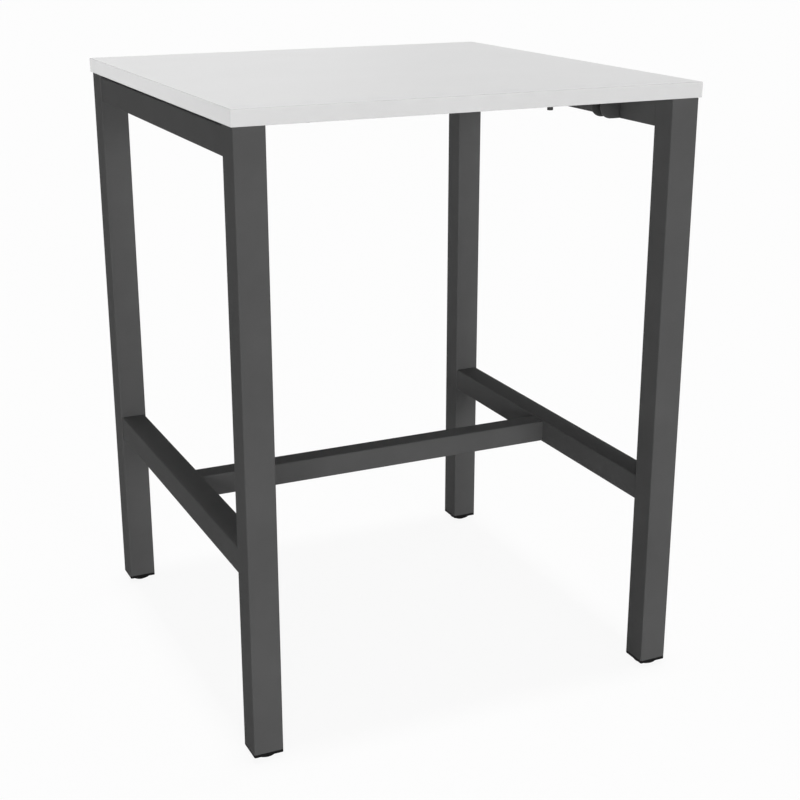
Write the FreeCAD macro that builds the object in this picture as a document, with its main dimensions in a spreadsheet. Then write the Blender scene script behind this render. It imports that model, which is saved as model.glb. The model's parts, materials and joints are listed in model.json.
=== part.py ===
# Pub table: a square, bar-height table. A 25 mm edged panel lies on two welded goal-post frames of square
# tube. A low stretcher and two flat beams under the panel tie the frames, and each leg stands on a
# levelling foot.
# Frame of the model: X to the right, Y to the back, Z up, with the origin on the floor at the centre.
# Lengths are in millimetres.
import FreeCAD, Part
import os
import re

import Sketcher

SIZES = [
    ("top_width", 800, "panel, left to right"),
    ("top_depth", 800, "panel, front to back"),
    ("table_height", 1050, "floor to the top surface"),
    ("top_thickness", 25, "panel and edging"),
    ("band_thickness", 2, "plastic edging"),
    ("band_round", 1, "rounding of the edging's outer edges"),
    ("frame_inset", 3.5, "panel's edge to the legs' outer faces"),
    ("leg_side", 50, "leg tube, outside"),
    ("leg_wall", 2, "leg tube, wall"),
    ("leg_inner_corner", 0.5, "leg tube, corner radius inside"),
    ("cap_thickness", 3, "plate that closes a leg's top"),
    ("cap_fit", 0.1, "gap round that plate"),
    ("rail_side", 45, "top and foot rails, outside"),
    ("rail_wall", 2, "rails, wall"),
    ("rail_inner_corner", 0.5, "rails, corner radius inside"),
    ("top_rail_gap", 5, "panel's underside to the top rail"),
    ("foot_rail_base", 315, "floor to the foot rail's underside"),
    ("stretcher_side", 40, "stretcher tube, outside"),
    ("stretcher_wall", 2, "stretcher, wall"),
    ("stretcher_inner_corner", 0.5, "stretcher, corner radius inside"),
    ("spigot_length", 60, "inner tube in the stretcher's end"),
    ("spigot_height", 30, "inner tube, height"),
    ("spigot_wall", 3, "inner tube, wall"),
    ("spigot_inner_corner", 0.5, "inner tube, corner radius inside"),
    ("spigot_fit", 0.3, "gap on each side of the inner tube"),
    ("spigot_screw_start", 18, "rail's face to the first stretcher screw"),
    ("spigot_screw_end", 16, "inner tube's end to the second stretcher screw"),
    ("beam_width", 25, "beam under the panel, front to back"),
    ("beam_height", 20, "beam, height"),
    ("beam_wall", 1.5, "beam, wall"),
    ("beam_inner_corner", 0.5, "beam, corner radius inside"),
    ("beam_setback", 119, "leg's inner face to the beam's centre line"),
    ("beam_end_gap", 1, "beam's end to the bracket's back plate"),
    ("sheet_thickness", 3, "bracket's steel sheet"),
    ("bend_inside", 1.5, "inner radius of the bracket's upright folds"),
    ("fold_radius", 2.5, "outer radius of the folds under the tongue"),
    ("bracket_fit", 0.25, "gap between a cheek and the beam"),
    ("bracket_rise", 1, "rail's underside to the bracket's lowest edge"),
    ("bracket_top_gap", 1, "rail's top to the bracket's upper edge"),
    ("cheek_foot", 20, "straight part of a cheek's lower edge"),
    ("cheek_shoulder", 6, "straight edge above a cheek's round corner"),
    ("tongue_length", 150, "rail's face to the tongue's end"),
    ("tongue_round", 8, "radius of the tongue's upper corners"),
    ("tongue_screw_end", 20, "tongue's end to the screw through it"),
    ("back_screw_gap", 1.6, "a cheek to the nearer screw's head"),
    ("back_screw_height", 13, "bracket's lowest edge to those screws"),
    ("screw_radius", 3, "M6 thread"),
    ("screw_clearance", 0.3, "radial gap round an M6 thread in a plain hole"),
    ("screw_grip", 14, "length of an M6 thread under its head"),
    ("cap_head_radius", 5, "socket cap head"),
    ("cap_head_height", 6, "socket cap head"),
    ("head_edge", 0.5, "chamfer of a cap head's free edge"),
    ("button_head_radius", 5.25, "button head"),
    ("button_head_height", 3.3, "button head"),
    ("button_crown", 3.2, "button head, radius of its flat crown"),
    ("button_rim", 1.2, "button head, height of its upright rim"),
    ("flat_head_radius", 8, "flat head"),
    ("flat_head_height", 1.8, "flat head"),
    ("flat_head_edge", 0.5, "chamfer of a flat head's free edge"),
    ("socket_flats", 4, "hexagon socket, across flats"),
    ("socket_depth", 2, "hexagon socket, depth"),
    ("washer_rim", 1, "washer's edge beyond the screw's head"),
    ("washer_thickness", 1.6, "M6 washer"),
    ("rivet_radius", 4.5, "rivet nut, barrel"),
    ("rivet_flare", 1.2, "rivet nut, how far its pressed collar spreads"),
    ("rivet_flare_height", 2.5, "rivet nut, height of that collar"),
    ("rivet_length", 12, "rivet nut"),
    ("close_fit", 0.05, "radial gap between a shaft and its bore"),
    ("wood_screw_radius", 2.25, "screw into the panel"),
    ("wood_screw_clearance", 0.5, "radial gap round it in the beam"),
    ("wood_head_radius", 4.5, "pan head"),
    ("wood_head_height", 3, "pan head"),
    ("wood_head_crown", 2.7, "pan head, radius of its flat crown"),
    ("wood_head_rim", 1.2, "pan head, height of its upright rim"),
    ("recess_reach", 2.2, "cross recess in the pan head, middle to an arm's end"),
    ("recess_width", 1.1, "cross recess, width of an arm"),
    ("recess_depth", 1.6, "cross recess, depth"),
    ("wood_screw_point", 4.5, "length of its point"),
    ("wood_screw_bite", 15, "length in the panel"),
    ("pilot_spare", 1, "pilot hole beyond the screw's tip"),
    ("wood_screw_margin", 29, "tongue's end to the outer panel screw"),
    ("wood_screw_pitch", 110, "between the outer and the inner panel screw"),
    ("flange_thickness", 5.3, "foot insert's flange"),
    ("flange_edge", 0.3, "chamfer under the flange"),
    ("skirt_height", 22, "foot insert above its flange"),
    ("skirt_wall", 2.2, "foot insert's walls"),
    ("skirt_fit", 0.2, "gap between the insert and the leg"),
    ("skirt_corner", 1.2, "foot insert, corner radius of its walls"),
    ("skirt_lead", 1, "chamfer at the insert's upper edge"),
    ("boss_radius", 8.5, "threaded boss of the insert"),
    ("rib_thickness", 2, "ribs between boss and walls"),
    ("rib_drop", 4, "ribs below the insert's upper edge"),
    ("stud_radius", 4, "M8 levelling stud"),
    ("stud_length", 34, "stud above its collar"),
    ("stud_tip", 1, "chamfer at the stud's tip"),
    ("collar_flats", 13, "hexagon collar, across flats"),
    ("collar_height", 3, "hexagon collar"),
    ("collar_gap", 0.6, "collar to the flange, screwed right in"),
    ("pad_radius", 20, "levelling pad, rim"),
    ("pad_sole_radius", 12, "levelling pad, on the floor"),
    ("pad_taper", 4.6, "height of the pad's tapered part"),
    ("pad_height", 6.5, "levelling pad"),
    ("pad_edge", 0.5, "chamfer of the pad's upper rim"),
    ("pivot_depth", 4.5, "stud's end in the pad"),
    ("pivot_gap", 0.2, "under the stud's end"),
]

doc = FreeCAD.newDocument("PubTable")
sheet = doc.addObject("Spreadsheet::Sheet", "Sizes")
for row, (alias, value, note) in enumerate(SIZES, start=1):
    sheet.set("A%d" % row, alias)
    sheet.set("B%d" % row, str(value))
    sheet.set("C%d" % row, note)
    sheet.setAlias("B%d" % row, alias)
doc.recompute()

ALIASES = {alias for alias, value, note in SIZES}

# Places and lengths that follow from the sheet. Each is a formula of its aliases.
UNDERSIDE = "(table_height - top_thickness)"
FLANGE_BASE = "(pad_height + collar_height + collar_gap)"
LEG_BASE = "(%s + flange_thickness)" % FLANGE_BASE
LEG_LENGTH = "(%s - %s)" % (UNDERSIDE, LEG_BASE)
LEG_X = "(top_width / 2 - frame_inset - leg_side / 2)"
LEG_Y = "(top_depth / 2 - frame_inset - leg_side / 2)"
LEG_INSIDE = "(leg_side - 2 * leg_wall)"
LEG_CORNER = "(leg_inner_corner + leg_wall)"
RAIL_LENGTH = "(top_depth - 2 * frame_inset - 2 * leg_side)"
RAIL_FACE = "(%s - rail_side / 2)" % LEG_X
TOP_RAIL_Z = "(%s - top_rail_gap - rail_side / 2)" % UNDERSIDE
FOOT_RAIL_Z = "(foot_rail_base + rail_side / 2)"
STRETCHER_BASE = "(%s - stretcher_side / 2)" % FOOT_RAIL_Z
SPIGOT_WIDTH = "(stretcher_side - 2 * stretcher_wall - 2 * spigot_fit)"
SPIGOT_Z = "(%s + stretcher_wall + spigot_height / 2)" % STRETCHER_BASE
BEAM_BASE = "(%s - beam_height)" % UNDERSIDE
BEAM_Y = "(%s / 2 - beam_setback)" % RAIL_LENGTH
BEAM_HALF = "(%s - sheet_thickness - beam_end_gap)" % RAIL_FACE
BRACKET_BASE = "(%s - rail_side / 2 + bracket_rise)" % TOP_RAIL_Z
BRACKET_HEIGHT = "(rail_side - bracket_rise - bracket_top_gap)"
BRACKET_INSIDE = "(beam_width + 2 * bracket_fit)"
BRACKET_OUTSIDE = "(%s + 2 * sheet_thickness)" % BRACKET_INSIDE
TONGUE_BASE = "(%s - sheet_thickness - %s)" % (BEAM_BASE, BRACKET_BASE)
CHEEK_ROUND = "(%s - cheek_shoulder)" % TONGUE_BASE
CHEEK_LENGTH = "(cheek_foot + %s)" % CHEEK_ROUND
TONGUE_SCREW = "(tongue_length - tongue_screw_end)"
BACK_SCREW_Y = "(%s / 2 - back_screw_gap - cap_head_radius)" % BRACKET_INSIDE
BACK_SCREW_Z = "(%s + back_screw_height)" % BRACKET_BASE
OUTER_PANEL_SCREW = "(%s - tongue_length - wood_screw_margin)" % RAIL_FACE
INNER_PANEL_SCREW = "(%s - wood_screw_pitch)" % OUTER_PANEL_SCREW
SPIGOT_SCREWS = ("spigot_screw_start", "(spigot_length - spigot_screw_end)")
SCREW_HOLE = "(screw_radius + screw_clearance)"
RIVET_HOLE = "(rivet_radius + close_fit)"
SKIRT_TOP = "(flange_thickness + skirt_height)"
SKIRT_SIDE = "(%s - 2 * skirt_fit)" % LEG_INSIDE
PIVOT_BASE = "(pad_height - pivot_depth)"

SIDES = (("left", -1), ("right", 1))
ENDS = (("front", -1), ("back", 1))
CORNERS = [(end + "_" + side, x, y) for end, y in ENDS for side, x in SIDES]

ALONG_Y = FreeCAD.Rotation(FreeCAD.Vector(1, 0, 0), -90)
ALONG_X = FreeCAD.Rotation(FreeCAD.Vector(0, 1, 0), 90)
HALF_TURN = FreeCAD.Rotation(FreeCAD.Vector(0, 0, 1), 180)

TOUCH = 1e-3

nodes = []


def link(formula):
    """The formula with each alias written as a reference to the sheet."""

    def reference(word):
        return "Sizes." + word.group() if word.group() in ALIASES else word.group()

    return re.sub(r"[a-z_]+", reference, formula)


def value_of(formula):
    """The formula's present value, a starting point for a sketch."""
    result = sheet.evalExpression(link(formula).replace("Sizes.", ""))
    return float(getattr(result, "Value", result))


def opposite(formula):
    return "-(%s)" % formula


def times(sign, formula):
    return formula if sign > 0 else opposite(formula)


def place(thing, x="0", y="0", z="0", rotation=None):
    """Turns a piece and binds its place in the table to the sheet."""
    if rotation is not None:
        thing.Placement.Rotation = rotation
    for axis, formula in (("x", x), ("y", y), ("z", z)):
        thing.setExpression("Placement.Base." + axis, link(formula))
    return thing


def add_node(thing, label):
    """Makes a piece, or a group of equal pieces, a sub-part with a file of its own."""
    thing.Label = label
    nodes.append(thing)


def new_body(name):
    return doc.addObject("PartDesign::Body", name)


# Sketches -------------------------------------------------------------------------------------------------


def new_sketch(body, name, plane, lift):
    """A sketch on one of the body's origin planes, raised along its normal."""
    sketch = body.newObject("Sketcher::SketchObject", name)
    origin_plane = next(part for part in body.Origin.OriginFeatures if part.Role == plane)
    sketch.AttachmentSupport = [(origin_plane, "")]
    sketch.MapMode = "FlatFace"
    sketch.setExpression("AttachmentOffset.Base.z", link(lift))
    return sketch


def bind_coordinate(sketch, kind, axis_line, geometry, point, formula):
    """Holds one coordinate of a sketch point at the formula's value."""
    present = value_of(formula)
    if abs(present) < 1e-9:
        sketch.addConstraint(Sketcher.Constraint("PointOnObject", geometry, point, axis_line))
    elif present > 0:
        index = sketch.addConstraint(Sketcher.Constraint(kind, -1, 1, geometry, point, present))
        sketch.setExpression("Constraints[%d]" % index, link(formula))
    else:
        index = sketch.addConstraint(Sketcher.Constraint(kind, geometry, point, -1, 1, -present))
        sketch.setExpression("Constraints[%d]" % index, link(opposite(formula)))


def bind_point(sketch, geometry, point, across, up):
    bind_coordinate(sketch, "DistanceX", -2, geometry, point, across)
    bind_coordinate(sketch, "DistanceY", -1, geometry, point, up)


def outline(body, name, points, plane="XY_Plane", lift="0"):
    """A closed sketch of straight lines through the points, given as pairs of formulas."""
    sketch = new_sketch(body, name, plane, lift)
    corners = [FreeCAD.Vector(value_of(across), value_of(up), 0) for across, up in points]
    count = len(corners)
    for index in range(count):
        sketch.addGeometry(Part.LineSegment(corners[index], corners[(index + 1) % count]), False)
    for index in range(count):
        sketch.addConstraint(Sketcher.Constraint("Coincident", index, 2, (index + 1) % count, 1))
    for index, (across, up) in enumerate(points):
        bind_point(sketch, index, 1, across, up)
    return sketch


def rectangle(body, name, low_x, high_x, low_y, high_y, plane="XY_Plane", lift="0"):
    points = [(low_x, low_y), (high_x, low_y), (high_x, high_y), (low_x, high_y)]
    return outline(body, name, points, plane, lift)


def centred_rectangle(body, name, width, height, plane="XY_Plane", lift="0"):
    half_width = "(%s / 2)" % width
    half_height = "(%s / 2)" % height
    return rectangle(body, name, "-" + half_width, half_width, "-" + half_height, half_height, plane, lift)


def hexagon(body, name, flats, lift):
    """A hexagon round the body's axis, with two of its corners on the X axis."""
    tip = "(%s / sqrt(3))" % flats
    half_flat = "(%s / sqrt(12))" % flats
    flat = "(%s / 2)" % flats
    points = [(tip, "0"), (half_flat, flat), ("-" + half_flat, flat), ("-" + tip, "0"),
              ("-" + half_flat, "-" + flat), (half_flat, "-" + flat)]
    return outline(body, name, points, lift=lift)


def cross(body, name, reach, width, lift):
    """A cross of two equal bars round the body's axis, along X and Y."""
    half = "(%s / 2)" % width
    arm = [(reach, "-" + half), (reach, half), (half, half)]
    quarter_turns = [lambda x, y: (x, y), lambda x, y: (opposite(y), x),
                     lambda x, y: (opposite(x), opposite(y)), lambda x, y: (y, opposite(x))]
    points = [turn(x, y) for turn in quarter_turns for x, y in arm]
    return outline(body, name, points, lift=lift)


def circles(body, name, radius, places, plane="XY_Plane", lift="0"):
    """Equal circles at the places, given as pairs of formulas."""
    sketch = new_sketch(body, name, plane, lift)
    for index, (across, up) in enumerate(places):
        centre = FreeCAD.Vector(value_of(across), value_of(up), 0)
        sketch.addGeometry(Part.Circle(centre, FreeCAD.Vector(0, 0, 1), value_of(radius)), False)
        bind_point(sketch, index, 3, across, up)
        if index > 0:
            sketch.addConstraint(Sketcher.Constraint("Equal", 0, index))
    size = sketch.addConstraint(Sketcher.Constraint("Radius", 0, value_of(radius)))
    sketch.setExpression("Constraints[%d]" % size, link(radius))
    return sketch


# Features -------------------------------------------------------------------------------------------------


def pad(body, sketch, length):
    feature = body.newObject("PartDesign::Pad", sketch.Name + "Pad")
    feature.Profile = sketch
    feature.setExpression("Length", link(length))
    sketch.Visibility = False
    return feature


def pocket(body, sketch, length=None, reverse=False, symmetric=False):
    """Cuts the sketch out of the body: to a depth, or right through where no depth is given."""
    feature = body.newObject("PartDesign::Pocket", sketch.Name + "Pocket")
    feature.Profile = sketch
    feature.Reversed = reverse
    if symmetric:
        feature.SideType = "Symmetric"
    if length is None:
        feature.Type = "ThroughAll"
    else:
        feature.setExpression("Length", link(length))
    sketch.Visibility = False
    return feature


def revolve(body, sketch):
    """Turns a sketch in the body's XZ plane once round its Z axis."""
    feature = body.newObject("PartDesign::Revolution", sketch.Name + "Turned")
    feature.Profile = sketch
    feature.ReferenceAxis = (sketch, ["V_Axis"])
    feature.Angle = 360
    sketch.Visibility = False
    return feature


def dress(feature, kind, name, size_property, size, chosen):
    """Rounds or chamfers the edges of the feature that the chosen() test picks."""
    doc.recompute()
    edges = ["Edge%d" % (index + 1) for index, edge in enumerate(feature.Shape.Edges) if chosen(edge)]
    body = feature.getParentGeoFeatureGroup()
    dressed = body.newObject("PartDesign::" + kind, name)
    dressed.Base = (feature, edges)
    dressed.setExpression(size_property, link(size))
    return dressed


def fillet(feature, name, radius, chosen):
    return dress(feature, "Fillet", name, "Radius", radius, chosen)


def chamfer(feature, name, size, chosen):
    return dress(feature, "Chamfer", name, "Size", size, chosen)


def runs_along(edge, axis):
    """True for a straight edge parallel to the axis, 0 for X, 1 for Y and 2 for Z."""
    if edge.Curve.TypeId != "Part::GeomLine":
        return False
    return abs(edge.tangentAt(edge.FirstParameter)[axis]) > 0.999


def middle(edge):
    return edge.CenterOfMass


def near(place, target):
    return abs(place - target) < TOUCH


def square_tube(name, width_x, width_y, wall, inner_corner, length):
    """A tube of rectangular section with rounded corners, standing on the body's XY plane."""
    body = new_body(name)
    bar = pad(body, centred_rectangle(body, name + "Outside", width_x, width_y), length)
    fillet(bar, name + "Corners", "(%s + %s)" % (inner_corner, wall), lambda edge: runs_along(edge, 2))
    inside_x = "(%s - 2 * %s)" % (width_x, wall)
    inside_y = "(%s - 2 * %s)" % (width_y, wall)
    bore = pocket(body, centred_rectangle(body, name + "Inside", inside_x, inside_y), reverse=True)
    reach = value_of(inside_x) / 2 + TOUCH
    fillet(bore, name + "InnerCorners", inner_corner,
           lambda edge: runs_along(edge, 2) and abs(middle(edge).x) < reach)
    return body


def wall_holes(body, name, radius, places, face, wall):
    """Round holes through the tube's +X wall. A place is (across the tube, along it)."""
    pocket(body, circles(body, name, radius, places, "YZ_Plane", face), "(2 * %s)" % wall)


def turned(name, profile):
    """A round piece: its half section is a list of (radius, height) formulas."""
    body = new_body(name)
    revolve(body, outline(body, name + "Profile", profile, "XZ_Plane"))
    return body


def mirrored(source, name, normal):
    mirror = doc.addObject("Part::Mirroring", name)
    mirror.Source = source
    mirror.Base = FreeCAD.Vector(0, 0, 0)
    mirror.Normal = normal
    return mirror


def set_in_halves(label, seeds):
    """A node of equal pieces: the seeds, and their images across the table's YZ plane."""
    pieces = list(seeds)
    for index, seed in enumerate(seeds):
        pieces.append(mirrored(seed, "%s_image_%d" % (label, index), FreeCAD.Vector(1, 0, 0)))
    group = doc.addObject("Part::Compound", label)
    group.Links = pieces
    return group


def add_halves(label, seeds):
    add_node(set_in_halves(label + "_pair", seeds), label)


def add_quarters(label, seeds):
    """A node of equal pieces in all four quarters of the table."""
    half = set_in_halves(label + "_back_half", seeds)
    group = doc.addObject("Part::Compound", label + "_all")
    group.Links = [half, mirrored(half, label + "_front_half", FreeCAD.Vector(0, 1, 0))]
    add_node(group, label)


def add_opposite_pair(label, seed):
    """A node of two equal pieces: the seed, and its image half a turn round the table's middle."""
    across = mirrored(seed, label + "_across", FreeCAD.Vector(1, 0, 0))
    group = doc.addObject("Part::Compound", label + "_pair")
    group.Links = [seed, mirrored(across, label + "_image", FreeCAD.Vector(0, 1, 0))]
    add_node(group, label)


# The panel and its edging ---------------------------------------------------------------------------------


def panel_screw_places():
    """The four panel screws over one beam, from left to right."""
    return [times(-1, OUTER_PANEL_SCREW), times(-1, INNER_PANEL_SCREW), INNER_PANEL_SCREW, OUTER_PANEL_SCREW]


def make_panel():
    body = new_body("Panel")
    core_width = "(top_width - 2 * band_thickness)"
    core_depth = "(top_depth - 2 * band_thickness)"
    pad(body, centred_rectangle(body, "PanelFace", core_width, core_depth), "top_thickness")
    places = [(across, times(end, BEAM_Y)) for name, end in ENDS for across in panel_screw_places()]
    pilot = circles(body, "PilotHoles", "(wood_screw_radius + close_fit)", places)
    pocket(body, pilot, "(wood_screw_bite + pilot_spare)", reverse=True)
    add_node(place(body, z=UNDERSIDE), "tabletop_core")


def make_edge_band(name, length, out_x, out_y, turn, turns_corners):
    """One strip of edging. Its outer face is the body's -Y face before the turn about Z.

    The front and back strips run past the side ones, so their ends are rounded like the outer face.
    """
    body = new_body("Band_" + name)
    strip = pad(body, centred_rectangle(body, "BandFace_" + name, length, "band_thickness"), "top_thickness")
    end = value_of(length) / 2

    def is_outer(edge):
        if turns_corners and near(abs(middle(edge).x), end):
            return runs_along(edge, 1) or middle(edge).y < 0
        return runs_along(edge, 0) and middle(edge).y < 0

    fillet(strip, "BandEdges_" + name, "band_round", is_outer)
    rotation = FreeCAD.Rotation(FreeCAD.Vector(0, 0, 1), turn)
    add_node(place(body, out_x, out_y, UNDERSIDE, rotation), "edge_band_" + name)


def make_edging():
    out_x = "(top_width / 2 - band_thickness / 2)"
    out_y = "(top_depth / 2 - band_thickness / 2)"
    make_edge_band("front", "top_width", "0", "-" + out_y, 0, True)
    make_edge_band("back", "top_width", "0", out_y, 180, True)
    side_length = "(top_depth - 2 * band_thickness)"
    make_edge_band("right", side_length, out_x, "0", 90, False)
    make_edge_band("left", side_length, "-" + out_x, "0", 270, False)


# The two welded goal-post frames --------------------------------------------------------------------------


def make_leg(corner, x, y):
    body = square_tube("Leg_" + corner, "leg_side", "leg_side", "leg_wall", "leg_inner_corner", LEG_LENGTH)
    add_node(place(body, times(x, LEG_X), times(y, LEG_Y), LEG_BASE), "leg_" + corner)


def make_leg_cap(corner, x, y):
    body = new_body("LegCap_" + corner)
    side = "(%s - 2 * cap_fit)" % LEG_INSIDE
    plate = pad(body, centred_rectangle(body, "CapFace_" + corner, side, side), "cap_thickness")
    fillet(plate, "CapCorners_" + corner, "leg_inner_corner", lambda edge: runs_along(edge, 2))
    base = "(%s - cap_thickness)" % UNDERSIDE
    add_node(place(body, times(x, LEG_X), times(y, LEG_Y), base), "leg_cap_" + corner)


def make_rail(kind, side, x, height, hole_places):
    """A rail between two legs. Its bracket holes are in the wall that faces the table's middle."""
    name = kind.capitalize() + "Rail_" + side
    body = square_tube(name, "rail_side", "rail_side", "rail_wall", "rail_inner_corner", RAIL_LENGTH)
    if hole_places:
        wall_holes(body, name + "Holes", RIVET_HOLE, hole_places, "rail_side / 2", "rail_wall")
    rotation = ALONG_Y if x < 0 else HALF_TURN.multiply(ALONG_Y)
    start = "(%s / 2)" % RAIL_LENGTH
    add_node(place(body, times(x, LEG_X), times(x, start), height, rotation), kind + "_rail_" + side)


def bracket_hole_places():
    """The back plates' screws, seen on a top rail: (below its centre line, from its end)."""
    drop = "(rail_side / 2 - bracket_rise - back_screw_height)"
    return [(drop, "(%s / 2 + %s + %s)" % (RAIL_LENGTH, times(end, BEAM_Y), times(step, BACK_SCREW_Y)))
            for name, end in ENDS for step in (-1, 1)]


def make_stretcher():
    body = square_tube("Stretcher", "stretcher_side", "stretcher_side", "stretcher_wall",
                       "stretcher_inner_corner", "(2 * %s)" % RAIL_FACE)
    places = [("0", reach) for reach in SPIGOT_SCREWS]
    places += [("0", "(2 * %s - %s)" % (RAIL_FACE, reach)) for reach in SPIGOT_SCREWS]
    wall_holes(body, "StretcherHoles", SCREW_HOLE, places, "stretcher_side / 2", "stretcher_wall")
    add_node(place(body, "-" + RAIL_FACE, "0", FOOT_RAIL_Z, ALONG_X), "stretcher")


def make_spigot(side, x):
    """A short tube welded to the foot rail. The stretcher's end slides over it."""
    body = square_tube("Spigot_" + side, "spigot_height", SPIGOT_WIDTH, "spigot_wall",
                       "spigot_inner_corner", "spigot_length")
    places = [("0", reach) for reach in SPIGOT_SCREWS]
    wall_holes(body, "SpigotHoles_" + side, RIVET_HOLE, places, "spigot_height / 2", "spigot_wall")
    rotation = ALONG_X if x < 0 else HALF_TURN.multiply(ALONG_X)
    add_node(place(body, times(x, RAIL_FACE), "0", SPIGOT_Z, rotation), "stretcher_spigot_" + side)


# The beams under the panel and their brackets -------------------------------------------------------------


def make_beam(end, y):
    body = square_tube("Beam_" + end, "beam_height", "beam_width", "beam_wall", "beam_inner_corner",
                       "(2 * %s)" % BEAM_HALF)
    screw_places = [("0", "(%s + %s)" % (BEAM_HALF, across)) for across in panel_screw_places()]
    pocket(body, circles(body, "BeamScrewHoles_" + end, "(wood_screw_radius + wood_screw_clearance)",
                         screw_places, "YZ_Plane", "beam_height / 2"))
    from_end = "(%s - %s + %s)" % (TONGUE_SCREW, RAIL_FACE, BEAM_HALF)
    nut_places = [("0", from_end), ("0", "(2 * %s - %s)" % (BEAM_HALF, from_end))]
    wall_holes(body, "BeamNutHoles_" + end, RIVET_HOLE, nut_places, "beam_height / 2", "beam_wall")
    axis_z = "(%s + beam_height / 2)" % BEAM_BASE
    add_node(place(body, "-" + BEAM_HALF, times(y, BEAM_Y), axis_z, ALONG_X), "cross_beam_" + end)


def make_bracket(corner, x, y):
    """Folded from one sheet: a back plate on the rail, two cheeks beside the beam and a web below it.

    The body's origin is on the rail's face at the cheeks' lower edge, and +X points away from the rail.
    """
    body = new_body("Bracket_" + corner)
    half = "(%s / 2)" % BRACKET_OUTSIDE
    half_inside = "(%s / 2)" % BRACKET_INSIDE
    block = pad(body, rectangle(body, "BracketPlan_" + corner, "0", "tongue_length", "-" + half, half),
                BRACKET_HEIGHT)
    fillet(block, "BracketBends_" + corner, "(bend_inside + sheet_thickness)",
           lambda edge: runs_along(edge, 2) and near(middle(edge).x, 0))
    past_end = "(tongue_length + sheet_thickness)"
    inside = rectangle(body, "BracketTrough_" + corner, "sheet_thickness", past_end,
                       "-" + half_inside, half_inside)
    trough = pocket(body, inside, reverse=True)
    inner_x = value_of("sheet_thickness")
    fillet(trough, "BracketInnerBends_" + corner, "bend_inside",
           lambda edge: runs_along(edge, 2) and near(middle(edge).x, inner_x))
    relief = rectangle(body, "BracketRelief_" + corner, CHEEK_LENGTH, past_end,
                       "-sheet_thickness", TONGUE_BASE, "XZ_Plane")
    pocket(body, relief, symmetric=True)
    web = pad(body, rectangle(body, "BracketWeb_" + corner, CHEEK_LENGTH, "tongue_length", "-" + half_inside,
                              half_inside, lift=TONGUE_BASE), "sheet_thickness")
    edge_y = value_of(half)
    tongue_z = value_of(TONGUE_BASE)
    folds = fillet(web, "BracketFolds_" + corner, "fold_radius",
                   lambda edge: runs_along(edge, 0) and near(middle(edge).z, tongue_z)
                   and near(abs(middle(edge).y), edge_y))
    cheek_x = value_of(CHEEK_LENGTH)
    toes = fillet(folds, "BracketToes_" + corner, CHEEK_ROUND,
                  lambda edge: runs_along(edge, 1) and near(middle(edge).z, 0)
                  and near(middle(edge).x, cheek_x))
    tongue_x = value_of("tongue_length")
    upper_z = value_of(BRACKET_HEIGHT)
    fillet(toes, "BracketTongue_" + corner, "tongue_round",
           lambda edge: runs_along(edge, 1) and near(middle(edge).z, upper_z)
           and near(middle(edge).x, tongue_x))
    back_places = [(times(step, BACK_SCREW_Y), "back_screw_height") for step in (-1, 1)]
    pocket(body, circles(body, "BracketBackHoles_" + corner, SCREW_HOLE, back_places, "YZ_Plane"),
           "(2 * sheet_thickness)", reverse=True)
    pocket(body, circles(body, "BracketTongueHole_" + corner, SCREW_HOLE, [(TONGUE_SCREW, "0")]),
           reverse=True)
    rotation = None if x < 0 else HALF_TURN
    where = (times(x, RAIL_FACE), times(y, BEAM_Y), BRACKET_BASE, rotation)
    add_node(place(body, *where), "beam_bracket_" + corner)


# Fasteners ------------------------------------------------------------------------------------------------


def with_socket(body, name, crown_z):
    """Sinks the hexagon socket into a screw's head."""
    pocket(body, hexagon(body, name + "Socket", "socket_flats", crown_z), "socket_depth", reverse=True)
    return body


def cap_screw(name):
    """An M6 socket cap screw. The thread points up from z = 0, and the head hangs below."""
    body = turned(name, [("0", "-cap_head_height"), ("(cap_head_radius - head_edge)", "-cap_head_height"),
                         ("cap_head_radius", "(head_edge - cap_head_height)"), ("cap_head_radius", "0"),
                         ("screw_radius", "0"), ("screw_radius", "screw_grip"), ("0", "screw_grip")])
    return with_socket(body, name, "-cap_head_height")


def button_screw(name):
    """An M6 button head screw, made the same way up."""
    body = turned(name, [("0", "-button_head_height"), ("button_crown", "-button_head_height"),
                         ("button_head_radius", "-button_rim"), ("button_head_radius", "0"),
                         ("screw_radius", "0"), ("screw_radius", "screw_grip"), ("0", "screw_grip")])
    return with_socket(body, name, "-button_head_height")


def flat_screw(name):
    """An M6 furniture screw with a wide flat head, made the same way up."""
    crown = "(flat_head_radius - flat_head_edge)"
    body = turned(name, [("0", "-flat_head_height"), (crown, "-flat_head_height"),
                         ("flat_head_radius", "(flat_head_edge - flat_head_height)"),
                         ("flat_head_radius", "0"), ("screw_radius", "0"),
                         ("screw_radius", "screw_grip"), ("0", "screw_grip")])
    return with_socket(body, name, "-flat_head_height")


def wood_screw(name):
    """A pan head screw through the beam into the panel, head down at z = 0."""
    tip = "(beam_height + wood_screw_bite)"
    body = turned(name, [("0", "-wood_head_height"), ("wood_head_crown", "-wood_head_height"),
                         ("wood_head_radius", "-wood_head_rim"), ("wood_head_radius", "0"),
                         ("wood_screw_radius", "0"), ("wood_screw_radius", "(%s - wood_screw_point)" % tip),
                         ("0", tip)])
    recess = cross(body, name + "Recess", "recess_reach", "recess_width", "-wood_head_height")
    pocket(body, recess, "recess_depth", reverse=True)
    return body


def washer(name):
    rim = "(cap_head_radius + washer_rim)"
    return turned(name, [(SCREW_HOLE, "0"), (rim, "0"), (rim, "washer_thickness"),
                         (SCREW_HOLE, "washer_thickness")])


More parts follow.
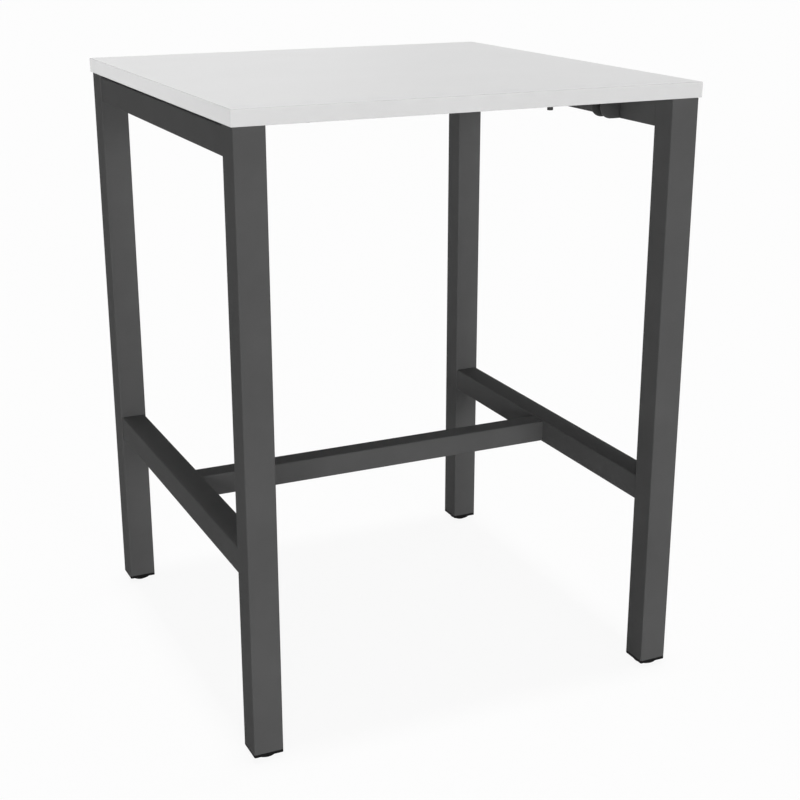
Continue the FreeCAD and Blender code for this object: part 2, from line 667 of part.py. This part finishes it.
def rivet_nut(name, wall):
    """An M6 rivet nut, flush with the outside of its wall, with its pressed collar behind the wall."""
    bore = "(screw_radius + close_fit)"
    collar = "(rivet_radius + rivet_flare)"
    collar_top = "(%s + rivet_flare_height)" % wall
    return turned(name, [(bore, "0"), ("rivet_radius", "0"), ("rivet_radius", wall), (collar, wall),
                         (collar, collar_top), ("rivet_radius", collar_top),
                         ("rivet_radius", "rivet_length"), (bore, "rivet_length")])


def make_fasteners():
    wood = [place(wood_screw("WoodScrew_%d" % index), across, BEAM_Y, BEAM_BASE)
            for index, across in enumerate((INNER_PANEL_SCREW, OUTER_PANEL_SCREW))]
    add_quarters("top_screws", wood)

    back_y = ["(%s - %s)" % (BEAM_Y, BACK_SCREW_Y), "(%s + %s)" % (BEAM_Y, BACK_SCREW_Y)]
    plate_x = "(%s - sheet_thickness)" % RAIL_FACE
    screws = [place(cap_screw("BackScrew_%d" % index), plate_x, y, BACK_SCREW_Z, ALONG_X)
              for index, y in enumerate(back_y)]
    add_quarters("bracket_screws", screws)
    nuts = [place(rivet_nut("RailNut_%d" % index, "rail_wall"), RAIL_FACE, y, BACK_SCREW_Z, ALONG_X)
            for index, y in enumerate(back_y)]
    add_quarters("rail_rivet_nuts", nuts)

    # One end of each beam has a cap screw on a washer, and the other a flat head. The beams are alike, and
    # the back one lies the other way round.
    tongue_x = "(%s - %s)" % (RAIL_FACE, TONGUE_SCREW)
    web_base = "(%s - sheet_thickness)" % BEAM_BASE
    washer_base = "(%s - washer_thickness)" % web_base
    screw = place(cap_screw("TongueScrew"), opposite(tongue_x), BEAM_Y, washer_base)
    ring = place(washer("TongueWasher"), opposite(tongue_x), BEAM_Y, washer_base)
    flat = place(flat_screw("FlatTongueScrew"), tongue_x, BEAM_Y, web_base)
    nut = place(rivet_nut("BeamNut", "beam_wall"), tongue_x, BEAM_Y, BEAM_BASE)
    add_opposite_pair("beam_screws", screw)
    add_opposite_pair("beam_washers", ring)
    add_opposite_pair("beam_flat_screws", flat)
    add_quarters("beam_rivet_nuts", [nut])

    spigot_x = ["(%s - %s)" % (RAIL_FACE, reach) for reach in SPIGOT_SCREWS]
    spigot_base = "(%s + stretcher_wall)" % STRETCHER_BASE
    screws = [place(button_screw("StretcherScrew_%d" % index), x, "0", STRETCHER_BASE)
              for index, x in enumerate(spigot_x)]
    add_halves("stretcher_screws", screws)
    nuts = [place(rivet_nut("SpigotNut_%d" % index, "spigot_wall"), x, "0", spigot_base)
            for index, x in enumerate(spigot_x)]
    add_halves("spigot_rivet_nuts", nuts)


# Levelling feet -------------------------------------------------------------------------------------------


def make_foot_insert(corner, x, y):
    """A plastic insert: flange under the tube's end, walls inside it, and a ribbed boss for the stud."""
    body = new_body("Insert_" + corner)
    flange = pad(body, centred_rectangle(body, "Flange_" + corner, "leg_side", "leg_side"),
                 "flange_thickness")
    rounded = fillet(flange, "FlangeCorners_" + corner, LEG_CORNER, lambda edge: runs_along(edge, 2))
    chamfer(rounded, "FlangeEdge_" + corner, "flange_edge",
            lambda edge: near(edge.BoundBox.ZMin, 0) and near(edge.BoundBox.ZMax, 0))
    skirt = pad(body, centred_rectangle(body, "Skirt_" + corner, SKIRT_SIDE, SKIRT_SIDE,
                                        lift="flange_thickness"), "skirt_height")
    flange_top = value_of("flange_thickness")
    soft = fillet(skirt, "SkirtCorners_" + corner, "skirt_corner",
                  lambda edge: runs_along(edge, 2) and middle(edge).z > flange_top)
    top = value_of(SKIRT_TOP)
    chamfer(soft, "SkirtLead_" + corner, "skirt_lead", lambda edge: near(edge.BoundBox.ZMin, top))
    hollow_side = "(%s - 2 * skirt_wall)" % SKIRT_SIDE
    pocket(body, centred_rectangle(body, "Hollow_" + corner, hollow_side, hollow_side, lift=SKIRT_TOP),
           "skirt_height")
    pad(body, circles(body, "Boss_" + corner, "boss_radius", [("0", "0")], lift="flange_thickness"),
        "skirt_height")
    rib_height = "(skirt_height - rib_drop)"
    pad(body, centred_rectangle(body, "RibX_" + corner, hollow_side, "rib_thickness",
                                lift="flange_thickness"), rib_height)
    pad(body, centred_rectangle(body, "RibY_" + corner, "rib_thickness", hollow_side,
                                lift="flange_thickness"), rib_height)
    pocket(body, circles(body, "Thread_" + corner, "(stud_radius + close_fit)", [("0", "0")]), reverse=True)
    add_node(place(body, times(x, LEG_X), times(y, LEG_Y), FLANGE_BASE), "foot_insert_" + corner)


def make_foot_stud(corner, x, y):
    """The M8 stud: its lower end turns in the pad, and its hexagon collar bears on the pad's top."""
    shoulder = "(pad_height + collar_height + stud_length)"
    body = turned("Stud_" + corner,
                  [("0", PIVOT_BASE), ("stud_radius", PIVOT_BASE),
                   ("stud_radius", "(%s - stud_tip)" % shoulder),
                   ("(stud_radius - stud_tip)", shoulder), ("0", shoulder)])
    pad(body, hexagon(body, "Collar_" + corner, "collar_flats", "pad_height"), "collar_height")
    add_node(place(body, times(x, LEG_X), times(y, LEG_Y)), "foot_stud_" + corner)


def make_foot_pad(corner, x, y):
    """A tapered disc with a blind bore for the stud's end."""
    bore = "(stud_radius + close_fit)"
    bore_floor = "(%s - pivot_gap)" % PIVOT_BASE
    body = turned("Pad_" + corner,
                  [("0", "0"), ("pad_sole_radius", "0"), ("pad_radius", "pad_taper"),
                   ("pad_radius", "(pad_height - pad_edge)"), ("(pad_radius - pad_edge)", "pad_height"),
                   (bore, "pad_height"), (bore, bore_floor), ("0", bore_floor)])
    add_node(place(body, times(x, LEG_X), times(y, LEG_Y)), "foot_pad_" + corner)


# Building and writing -------------------------------------------------------------------------------------


def build():
    make_panel()
    make_edging()
    for corner, x, y in CORNERS:
        make_leg(corner, x, y)
        make_leg_cap(corner, x, y)
        make_bracket(corner, x, y)
        make_foot_insert(corner, x, y)
        make_foot_stud(corner, x, y)
        make_foot_pad(corner, x, y)
    for side, x in SIDES:
        make_rail("top", side, x, TOP_RAIL_Z, bracket_hole_places())
        make_rail("foot", side, x, FOOT_RAIL_Z, [])
        make_spigot(side, x)
    make_stretcher()
    for end, y in ENDS:
        make_beam(end, y)
    make_fasteners()
    doc.recompute()


def check():
    """Stops where a feature has failed or a sub-part is not a sound solid."""
    for thing in doc.Objects:
        if "Invalid" in thing.State or "Error" in thing.State:
            raise RuntimeError("%s has failed: %s" % (thing.Label, thing.State))
    for node in nodes:
        if node.Shape.isNull() or not node.Shape.isValid() or not node.Shape.Solids:
            raise RuntimeError("%s has no sound shape" % node.Label)


def write():
    os.makedirs("parts", exist_ok=True)
    for node in nodes:
        node.Shape.exportStep("parts/%s.step" % node.Label)
        box = node.Shape.BoundBox
        print("%-28s solids %2d  volume %10.1f  x %7.1f..%7.1f  y %7.1f..%7.1f  z %7.1f..%7.1f" % (
            node.Label, len(node.Shape.Solids), node.Shape.Volume, box.XMin, box.XMax, box.YMin, box.YMax,
            box.ZMin, box.ZMax))


build()
check()
write()
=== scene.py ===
"""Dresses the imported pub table: materials, threaded studs, studio, camera. Lengths in metres."""
import json
import math

import bpy
from mathutils import Matrix, Vector


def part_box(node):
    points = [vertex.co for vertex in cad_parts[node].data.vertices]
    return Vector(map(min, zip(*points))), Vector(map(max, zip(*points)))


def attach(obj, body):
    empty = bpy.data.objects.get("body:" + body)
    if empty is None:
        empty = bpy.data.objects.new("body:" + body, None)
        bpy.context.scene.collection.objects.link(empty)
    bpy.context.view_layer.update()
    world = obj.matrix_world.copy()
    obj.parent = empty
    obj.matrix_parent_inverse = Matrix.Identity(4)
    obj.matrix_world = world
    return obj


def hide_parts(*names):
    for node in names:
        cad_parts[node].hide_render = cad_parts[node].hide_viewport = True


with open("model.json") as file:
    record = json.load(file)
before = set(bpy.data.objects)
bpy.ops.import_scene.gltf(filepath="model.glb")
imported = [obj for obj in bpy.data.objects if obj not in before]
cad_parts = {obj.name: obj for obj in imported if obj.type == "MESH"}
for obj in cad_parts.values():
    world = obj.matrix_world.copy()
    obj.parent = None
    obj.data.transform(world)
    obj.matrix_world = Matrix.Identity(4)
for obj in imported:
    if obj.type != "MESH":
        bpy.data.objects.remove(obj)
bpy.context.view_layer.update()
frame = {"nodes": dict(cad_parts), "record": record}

nodes = frame["nodes"]

MM = 0.001


def add_object(name, data):
    added = bpy.data.objects.new(name, data)
    bpy.context.scene.collection.objects.link(added)
    return added


# ---------------------------------------------------------------- the camera

PHOTO_WIDTH = 800            # pixels
FOCAL_PIXELS = 1483.675
SENSOR_WIDTH = 36.0          # the camera's film width, in its own millimetres
CAMERA_PLACE = (-1.071327, -2.389335, 1.323341)
CAMERA_RIGHT = Vector((0.905463, -0.424425, 0.0))
CAMERA_FORWARD = Vector((0.402403, 0.858481, -0.317934))


def add_camera():
    data = bpy.data.cameras.new("photo_camera")
    data.sensor_fit = "HORIZONTAL"
    data.sensor_width = SENSOR_WIDTH
    data.lens = FOCAL_PIXELS / PHOTO_WIDTH * SENSOR_WIDTH
    camera = add_object("photo_camera", data)
    up = CAMERA_RIGHT.cross(CAMERA_FORWARD)
    axes = Matrix((CAMERA_RIGHT, up, -CAMERA_FORWARD)).transposed().to_4x4()
    camera.matrix_world = Matrix.Translation(CAMERA_PLACE) @ axes
    bpy.context.scene.camera = camera


# ---------------------------------------------------------------- the studio

FLOOR_HALF = 30.0
FLOOR_COLOUR = 0.98
FLOOR_SHADE = 0.08           # the share of the floor's shading that is seen; the rest is white
WORLD_FILL = 0.21

# name: the way to the lamp, its apparent width in degrees, and the share of a white face's
# colour that it gives where the face is turned to it
LAMPS = {
    "overhead": ((0.0, 0.0, 1.0), 5.0, 0.435),
    "front_left": ((-0.48, -1.0, 0.08), 20.0, 0.58),
    "front": ((0.1, -1.0, 0.15), 12.0, 0.28),
    "back": ((0.08, 1.0, 0.12), 40.0, 0.053),
    "right": ((1.0, 0.5, 0.1), 40.0, 0.32),
}

# a soft, weak panel that the glossy left edging mirrors, below the tabletop's level
PANEL_PLACE = (-1.9, 2.8, 0.6)
PANEL_TARGET = (-0.4, 0.0, 1.03)
PANEL_SIZE = (1.8, 0.75)
PANEL_LEVEL = 0.32


def shining_from(direction):
    """The rotation of a lamp that stands in that direction and shines back along it."""
    return Vector(direction).to_track_quat("Z", "Y").to_euler()


def add_lamp(name, source, width, level):
    data = bpy.data.lights.new(name, "SUN")
    data.angle = math.radians(width)
    data.energy = level * math.pi
    add_object(name, data).rotation_euler = shining_from(source)


def add_panel():
    data = bpy.data.lights.new("panel", "AREA")
    data.shape = "RECTANGLE"
    data.size, data.size_y = PANEL_SIZE
    data.energy = PANEL_LEVEL * math.pi * data.size * data.size_y
    panel = add_object("panel", data)
    panel.location = PANEL_PLACE
    panel.rotation_euler = shining_from(Vector(PANEL_PLACE) - Vector(PANEL_TARGET))
    panel.visible_camera = False


def math_node(tree, operation, *values):
    """The output of a Math node. Each value is a number or another node's output."""
    node = tree.nodes.new("ShaderNodeMath")
    node.operation = operation
    for socket, value in zip(node.inputs, values):
        if isinstance(value, (int, float)):
            socket.default_value = value
        else:
            tree.links.new(value, socket)
    return node.outputs[0]


def seen_directly(tree):
    """1 for rays from the camera, off a glossy face or through glass, 0 for those that light."""
    path = tree.nodes.new("ShaderNodeLightPath")
    seen = path.outputs["Is Camera Ray"]
    for ray in ("Is Glossy Ray", "Is Transmission Ray"):
        seen = math_node(tree, "MAXIMUM", seen, path.outputs[ray])
    return seen


def end_tree(tree, factor, first, second, output_kind):
    """Shows the first shader where the factor is 0 and the second where it is 1."""
    mix = tree.nodes.new("ShaderNodeMixShader")
    for socket, source in zip(mix.inputs, (factor, first.outputs[0], second.outputs[0])):
        tree.links.new(source, socket)
    output = tree.nodes.new(output_kind)
    tree.links.new(mix.outputs[0], output.inputs["Surface"])


def add_world():
    world = bpy.data.worlds.new("studio")
    bpy.context.scene.world = world
    world.use_nodes = True
    tree = world.node_tree
    tree.nodes.clear()
    fill = tree.nodes.new("ShaderNodeBackground")
    fill.inputs["Strength"].default_value = WORLD_FILL
    white = tree.nodes.new("ShaderNodeBackground")
    for background in (fill, white):
        background.inputs["Color"].default_value = (1, 1, 1, 1)
    end_tree(tree, seen_directly(tree), fill, white, "ShaderNodeOutputWorld")


def add_floor():
    mesh = bpy.data.meshes.new("studio_floor")
    half = FLOOR_HALF
    corners = [(-half, -half, 0), (half, -half, 0), (half, half, 0), (-half, half, 0)]
    mesh.from_pydata(corners, [], [(0, 1, 2, 3)])
    floor = add_object("studio_floor", mesh)
    material = bpy.data.materials.new("studio_floor")
    material.use_nodes = True
    tree = material.node_tree
    tree.nodes.clear()
    shaded = tree.nodes.new("ShaderNodeBsdfDiffuse")
    shaded.inputs["Color"].default_value = grey(FLOOR_COLOUR) + (1,)
    white = tree.nodes.new("ShaderNodeEmission")
    veil = math_node(tree, "MULTIPLY", seen_directly(tree), 1 - FLOOR_SHADE)
    end_tree(tree, veil, shaded, white, "ShaderNodeOutputMaterial")
    mesh.materials.append(material)


# ---------------------------------------------------------------- tools for materials

# Nearly all values of a noise lie in such a band. It is stretched to the full effect.
NARROW_BAND = (0.35, 0.65)
WIDE_BAND = (0.3, 0.7)

COLOUR_INPUTS = (6, 7)       # the A and B sockets of a Mix node that mixes colours
COLOUR_OUTPUT = 2


def grey(value):
    return (value,) * 3


def greys(middle, darkest, palest):
    """Two greys, given as shares of a middle one."""
    return grey(middle * darkest), grey(middle * palest)


class Surface:
    """A Principled material under construction, with textures in the model's own coordinates."""

    def __init__(self, name):
        self.material = bpy.data.materials.new(name)
        self.material.use_nodes = True
        self.tree = self.material.node_tree
        self.shader = self.tree.nodes["Principled BSDF"]
        self.place = self.tree.nodes.new("ShaderNodeTexCoord").outputs["Object"]
        self.normal = None

    def set(self, **values):
        """Plain values of the shader's sockets. Underscores stand for spaces."""
        for name, value in values.items():
            self.shader.inputs[name.replace("_", " ")].default_value = value

    def link(self, source, socket):
        self.tree.links.new(source, self.shader.inputs[socket])

    def noise(self, size, detail, roughness=0.5, stretch=None):
        """Noise with features of about that size, longer along each axis by its stretch."""
        node = self.tree.nodes.new("ShaderNodeTexNoise")
        node.inputs["Scale"].default_value = 1 / size
        node.inputs["Detail"].default_value = detail
        node.inputs["Roughness"].default_value = roughness
        source = self.place
        if stretch:
            mapping = self.tree.nodes.new("ShaderNodeMapping")
            mapping.inputs["Scale"].default_value = [1 / factor for factor in stretch]
            self.tree.links.new(source, mapping.inputs["Vector"])
            source = mapping.outputs["Vector"]
        self.tree.links.new(source, node.inputs["Vector"])
        return node.outputs["Fac"]

    def cells(self, size):
        """Distance to the middle of rounded cells about that far apart."""
        node = self.tree.nodes.new("ShaderNodeTexVoronoi")
        node.feature = "SMOOTH_F1"
        node.inputs["Scale"].default_value = 1 / size
        self.tree.links.new(self.place, node.inputs["Vector"])
        return node.outputs["Distance"]

    def coordinate(self, axis):
        node = self.tree.nodes.new("ShaderNodeSeparateXYZ")
        self.tree.links.new(self.place, node.inputs[0])
        return node.outputs[axis]

    def math(self, operation, *values):
        return math_node(self.tree, operation, *values)

    def remap(self, source, low, high, out_low, out_high):
        node = self.tree.nodes.new("ShaderNodeMapRange")
        limits = {"From Min": low, "From Max": high, "To Min": out_low, "To Max": out_high}
        for name, value in limits.items():
            node.inputs[name].default_value = value
        self.tree.links.new(source, node.inputs["Value"])
        return node.outputs["Result"]

    def vary(self, noise, low, high):
        """A value that goes from low to high with a noise."""
        return self.remap(noise, *WIDE_BAND, low, high)

    def mottle(self, fine, coarse, fine_share):
        """Two noises as one, in which the finer one has the share given."""
        rest = self.math("MULTIPLY", coarse, 1 - fine_share)
        return self.math("MULTIPLY_ADD", fine, fine_share, rest)

    def blend(self, factor, first, second):
        """First where the factor is 0, second where it is 1: colours or blends' outputs."""
        node = self.tree.nodes.new("ShaderNodeMix")
        node.data_type = "RGBA"
        self.tree.links.new(factor, node.inputs["Factor"])
        for index, value in zip(COLOUR_INPUTS, (first, second)):
            if isinstance(value, tuple):
                node.inputs[index].default_value = value + (1,)
            else:
                self.tree.links.new(value, node.inputs[index])
        return node.outputs[COLOUR_OUTPUT]

    def tones(self, noise, band, first, second):
        """A colour that goes from first to second as a noise crosses the band."""
        return self.blend(self.remap(noise, *band, 0, 1), first, second)

    def bump(self, height, depth):
        """Raises the surface by height times depth metres, on top of the bumps made before."""
        node = self.tree.nodes.new("ShaderNodeBump")
        node.inputs["Strength"].default_value = 1
        node.inputs["Distance"].default_value = depth
        self.tree.links.new(height, node.inputs["Height"])
        if self.normal is not None:
            self.tree.links.new(self.normal, node.inputs["Normal"])
        self.normal = node.outputs["Normal"]
        self.link(self.normal, "Normal")


# ---------------------------------------------------------------- the materials

TOP_GREY = 0.79
EDGE_GREY = 0.55
COAT_GREY = 0.078
# the brackets' and screws' grey, darker than the powder coat's as painted shade under the tabletop
BRACKET_PAINTED_SHADE_GREY = 0.046
NYLON_GREY = 0.006
ZINC_BLUISH = (0.60, 0.60, 0.62)
ZINC_YELLOWISH = (0.66, 0.63, 0.55)

GLUE_LINE = 0.15 * MM        # the width of glue seen around the laminate
GLUE_DARKNESS = 0.6          # its grey as a share of the laminate's
EDGE_ROUNDING = 1 * MM       # of the edging's outer edges, which is as far as they are scraped
SCRAPE_FADE = 0.3 * MM       # over which the scraping sets in
SCRAPE_MOST = 0.6            # the share of the gloss coat that it takes away
SCRAPE_ROUGHNESS = 0.25      # the roughness that it would add if it took the whole coat


def laminate():
    """Light grey melamine: a fine pearl grain, faint clouding, and the glue at the edging."""
    surface = Surface("melamine_face")
    cloud = surface.noise(180 * MM, detail=3)
    grain = surface.noise(0.9 * MM, detail=2)
    mottle = surface.mottle(grain, cloud, fine_share=0.8)
    face = surface.tones(mottle, NARROW_BAND, *greys(TOP_GREY, 0.965, 1.03))
    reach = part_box("tabletop_core")[1]
    past = [surface.math("GREATER_THAN", surface.math("ABSOLUTE", surface.coordinate(axis)),
                         side - GLUE_LINE) for axis, side in zip("XY", reach)]
    at_edge = surface.math("MAXIMUM", *past)
    surface.link(surface.blend(at_edge, face, grey(TOP_GREY * GLUE_DARKNESS)), "Base Color")
    wiped = surface.noise(70 * MM, detail=4, roughness=0.6, stretch=(3, 1, 1))
    surface.link(surface.vary(wiped, 0.41, 0.44), "Roughness")
    surface.set(IOR=1.5, Specular_IOR_Level=0.15)
    surface.bump(surface.cells(0.8 * MM), depth=0.03 * MM)
    surface.bump(grain, depth=0.02 * MM)
    return surface.material


def edging():
    """Glossier plastic strip, its fine grain drawn along it, its rims scraped after glueing."""
    surface = Surface("plastic_edging")
    grain = surface.noise(0.5 * MM, detail=2, stretch=(12, 12, 1))
    cloud = surface.noise(90 * MM, detail=2)
    mottle = surface.mottle(grain, cloud, fine_share=0.5)
    tone = surface.tones(mottle, NARROW_BAND, *greys(EDGE_GREY, 0.985, 1.01))
    surface.link(tone, "Base Color")
    low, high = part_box("edge_band_left")
    above_middle = surface.math("SUBTRACT", surface.coordinate("Z"), (low[2] + high[2]) / 2)
    from_middle = surface.math("ABSOLUTE", above_middle)
    flat = (high[2] - low[2]) / 2 - EDGE_ROUNDING
    scraped = surface.remap(from_middle, flat, flat + SCRAPE_FADE, 0, SCRAPE_MOST)
    surface.link(surface.math("SUBTRACT", 1, scraped), "Coat Weight")
    smooth = surface.vary(cloud, 0.33, 0.36)
    rough = surface.math("MULTIPLY_ADD", scraped, SCRAPE_ROUGHNESS, smooth)
    surface.link(rough, "Roughness")
    surface.set(IOR=1.5, Coat_Roughness=0.2)
    surface.bump(grain, depth=0.015 * MM)
    return surface.material


def powder_coat():
    """Dark grey powder coat: pinhead texture, slight orange peel, dusty variation."""
    surface = Surface("powder_coat")
    pin = surface.cells(0.6 * MM)
    peel = surface.noise(2.5 * MM, detail=3)
    drift = surface.noise(120 * MM, detail=4, roughness=0.6)
    speck = surface.noise(0.35 * MM, detail=1)
    mottle = surface.mottle(speck, drift, fine_share=0.6)
    tone = surface.tones(mottle, NARROW_BAND, *greys(COAT_GREY, 0.88, 1.12))
    surface.link(tone, "Base Color")
    surface.link(surface.vary(drift, 0.5, 0.62), "Roughness")
    surface.set(IOR=1.45, Specular_IOR_Level=0.003)
    surface.bump(peel, depth=0.06 * MM)
    surface.bump(pin, depth=0.085 * MM)
    return surface.material


def black_steel():
    """A darker grey for the brackets and screws, as painted shade under the tabletop; smoother
    than the powder, with faint runs.
    """
    surface = Surface("bracket_coat_painted_shade")
    runs = surface.noise(20 * MM, detail=3, stretch=(3, 3, 1))
    speck = surface.noise(0.6 * MM, detail=2)
    mottle = surface.mottle(speck, runs, fine_share=0.5)
    # this darker grey is painted shade under the tabletop
    tone = surface.tones(mottle, NARROW_BAND, *greys(BRACKET_PAINTED_SHADE_GREY, 0.85, 1.15))
    surface.link(tone, "Base Color")
    surface.link(surface.vary(runs, 0.36, 0.5), "Roughness")
    surface.set(IOR=1.45, Specular_IOR_Level=0.12)
    surface.bump(runs, depth=0.05 * MM)
    surface.bump(speck, depth=0.012 * MM)
    return surface.material


def black_plastic():
    """Moulded black nylon with a spark-eroded grain."""
    surface = Surface("black_nylon")
    flow = surface.noise(12 * MM, detail=3)
    tone = surface.tones(flow, WIDE_BAND, *greys(NYLON_GREY, 0.8, 1.2))
    surface.link(tone, "Base Color")
    surface.link(surface.vary(flow, 0.5, 0.65), "Roughness")
    surface.set(IOR=1.5, Specular_IOR_Level=0.05)
    surface.bump(surface.cells(0.4 * MM), depth=0.03 * MM)
    return surface.material


def zinc():
    """Bright zinc plate: pale steel with a faint yellow and blue bloom and handling marks."""
    surface = Surface("bright_zinc")
    bloom = surface.noise(6 * MM, detail=3)
    marks = surface.noise(0.4 * MM, detail=3, roughness=0.7)
    tone = surface.tones(bloom, NARROW_BAND, ZINC_BLUISH, ZINC_YELLOWISH)
    surface.link(tone, "Base Color")
    surface.link(surface.vary(marks, 0.24, 0.42), "Roughness")
    surface.set(Metallic=1.0)
    surface.bump(marks, depth=0.01 * MM)
    return surface.material


def finishes():
    """The material of each slot that the record names."""
    # the black_steel slot gets a darker grey that is painted shade under the tabletop
    return {"laminate_top": laminate(), "edging": edging(), "coated_steel": powder_coat(),
            "black_steel": black_steel(), "black_plastic": black_plastic(), "zinc_steel": zinc()}


def dress_nodes(materials):
    for part in frame["record"]["subparts"]:
        mesh = nodes[part["node"]].data
        mesh.materials.clear()
        mesh.materials.append(materials[part["material_slot"]])
        for face in mesh.polygons:
            face.material_index = 0


# ---------------------------------------------------------------- threaded studs

STUD_RADIUS = 4 * MM
THREAD_PITCH = 1.25 * MM
THREAD_DEPTH = 0.65 * MM
RINGS_PER_TURN = 5           # rings of points to one pitch of the thread
STUD_SIDES = 48
COLLAR_FLATS = 13 * MM
COLLAR_HEIGHT = 3 * MM
COLLAR_CHAMFER = math.radians(30)
BEARING_SHARE = 0.96         # the collar's flat end circle, as a share of its width across flats
HEXAGON_SIDE = math.radians(60)
TIP_CHAMFER = 1 * MM
SMOOTH_BELOW = math.radians(32)
CORNERS = [end + "_" + side for end in ("front", "back") for side in ("left", "right")]


def hexagon_radius(angle):
    """The distance from the axis to a hexagon with a corner at angle 0."""
    return COLLAR_FLATS / 2 / math.cos(angle % HEXAGON_SIDE - HEXAGON_SIDE / 2)


def stud_rings(low, high, collar_low, collar_high):
    """The stud from its lower end to its tip, as functions from an angle to (radius, height)."""
    bearing = COLLAR_FLATS / 2 * BEARING_SHARE

    def chamfer(angle):
        return (hexagon_radius(angle) - bearing) * math.tan(COLLAR_CHAMFER)

    def thread_ring(height):
        def ring(angle):
            turn = (height / THREAD_PITCH - angle / math.tau) % 1
            crest = STUD_RADIUS - THREAD_DEPTH * abs(2 * turn - 1)
            return min(crest, STUD_RADIUS - TIP_CHAMFER + (high - height)), height
        return ring

    step = THREAD_PITCH / RINGS_PER_TURN
    count = int((high - collar_high) / step)
    return [
        lambda angle: (STUD_RADIUS - TIP_CHAMFER / 2, low),
        lambda angle: (STUD_RADIUS, low + TIP_CHAMFER / 2),
        lambda angle: (STUD_RADIUS, collar_low),
        lambda angle: (bearing, collar_low),
        lambda angle: (hexagon_radius(angle), collar_low + chamfer(angle)),
        lambda angle: (hexagon_radius(angle), collar_high - chamfer(angle)),
        lambda angle: (bearing, collar_high),
        lambda angle: (STUD_RADIUS - THREAD_DEPTH, collar_high),
        *[thread_ring(collar_high + index * step) for index in range(1, count)],
        lambda angle: (STUD_RADIUS - TIP_CHAMFER, high),
    ]


def turned_mesh(name, centre, rings):
    """A closed mesh around the upright line through centre, from its rings of points."""
    points = []
    for ring in rings:
        for side in range(STUD_SIDES):
            angle = math.tau * side / STUD_SIDES
            radius, height = ring(angle)
            points.append((centre[0] + radius * math.cos(angle),
                           centre[1] + radius * math.sin(angle), height))
    last = (len(rings) - 1) * STUD_SIDES
    faces = []
    for row in range(0, last, STUD_SIDES):
        for side in range(STUD_SIDES):
            a, b = row + side, row + (side + 1) % STUD_SIDES
            faces.append((a, b, b + STUD_SIDES, a + STUD_SIDES))
    faces.append(tuple(reversed(range(STUD_SIDES))))
    faces.append(tuple(range(last, last + STUD_SIDES)))
    mesh = bpy.data.meshes.new(name)
    mesh.from_pydata(points, [], faces)
    mesh.polygons.foreach_set("use_smooth", [True] * len(mesh.polygons))
    mesh.set_sharp_from_angle(angle=SMOOTH_BELOW)
    return mesh


def add_stud(corner, material):
    name = "foot_stud_" + corner
    low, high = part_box(name)
    pad_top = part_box("foot_pad_" + corner)[1][2]
    centre = ((low[0] + high[0]) / 2, (low[1] + high[1]) / 2)
    rings = stud_rings(low[2], high[2], pad_top, pad_top + COLLAR_HEIGHT)
    mesh = turned_mesh("threaded_" + name, centre, rings)
    mesh.materials.append(material)
    stud = add_object("threaded_" + name, mesh)
    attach(stud, name)
    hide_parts(name)


# ---------------------------------------------------------------- putting it together

materials = finishes()
dress_nodes(materials)
for corner in CORNERS:
    add_stud(corner, materials["zinc_steel"])
add_world()
add_floor()
for name, settings in LAMPS.items():
    add_lamp(name, *settings)
add_panel()
add_camera()

bpy.context.scene.view_settings.view_transform = "Standard"
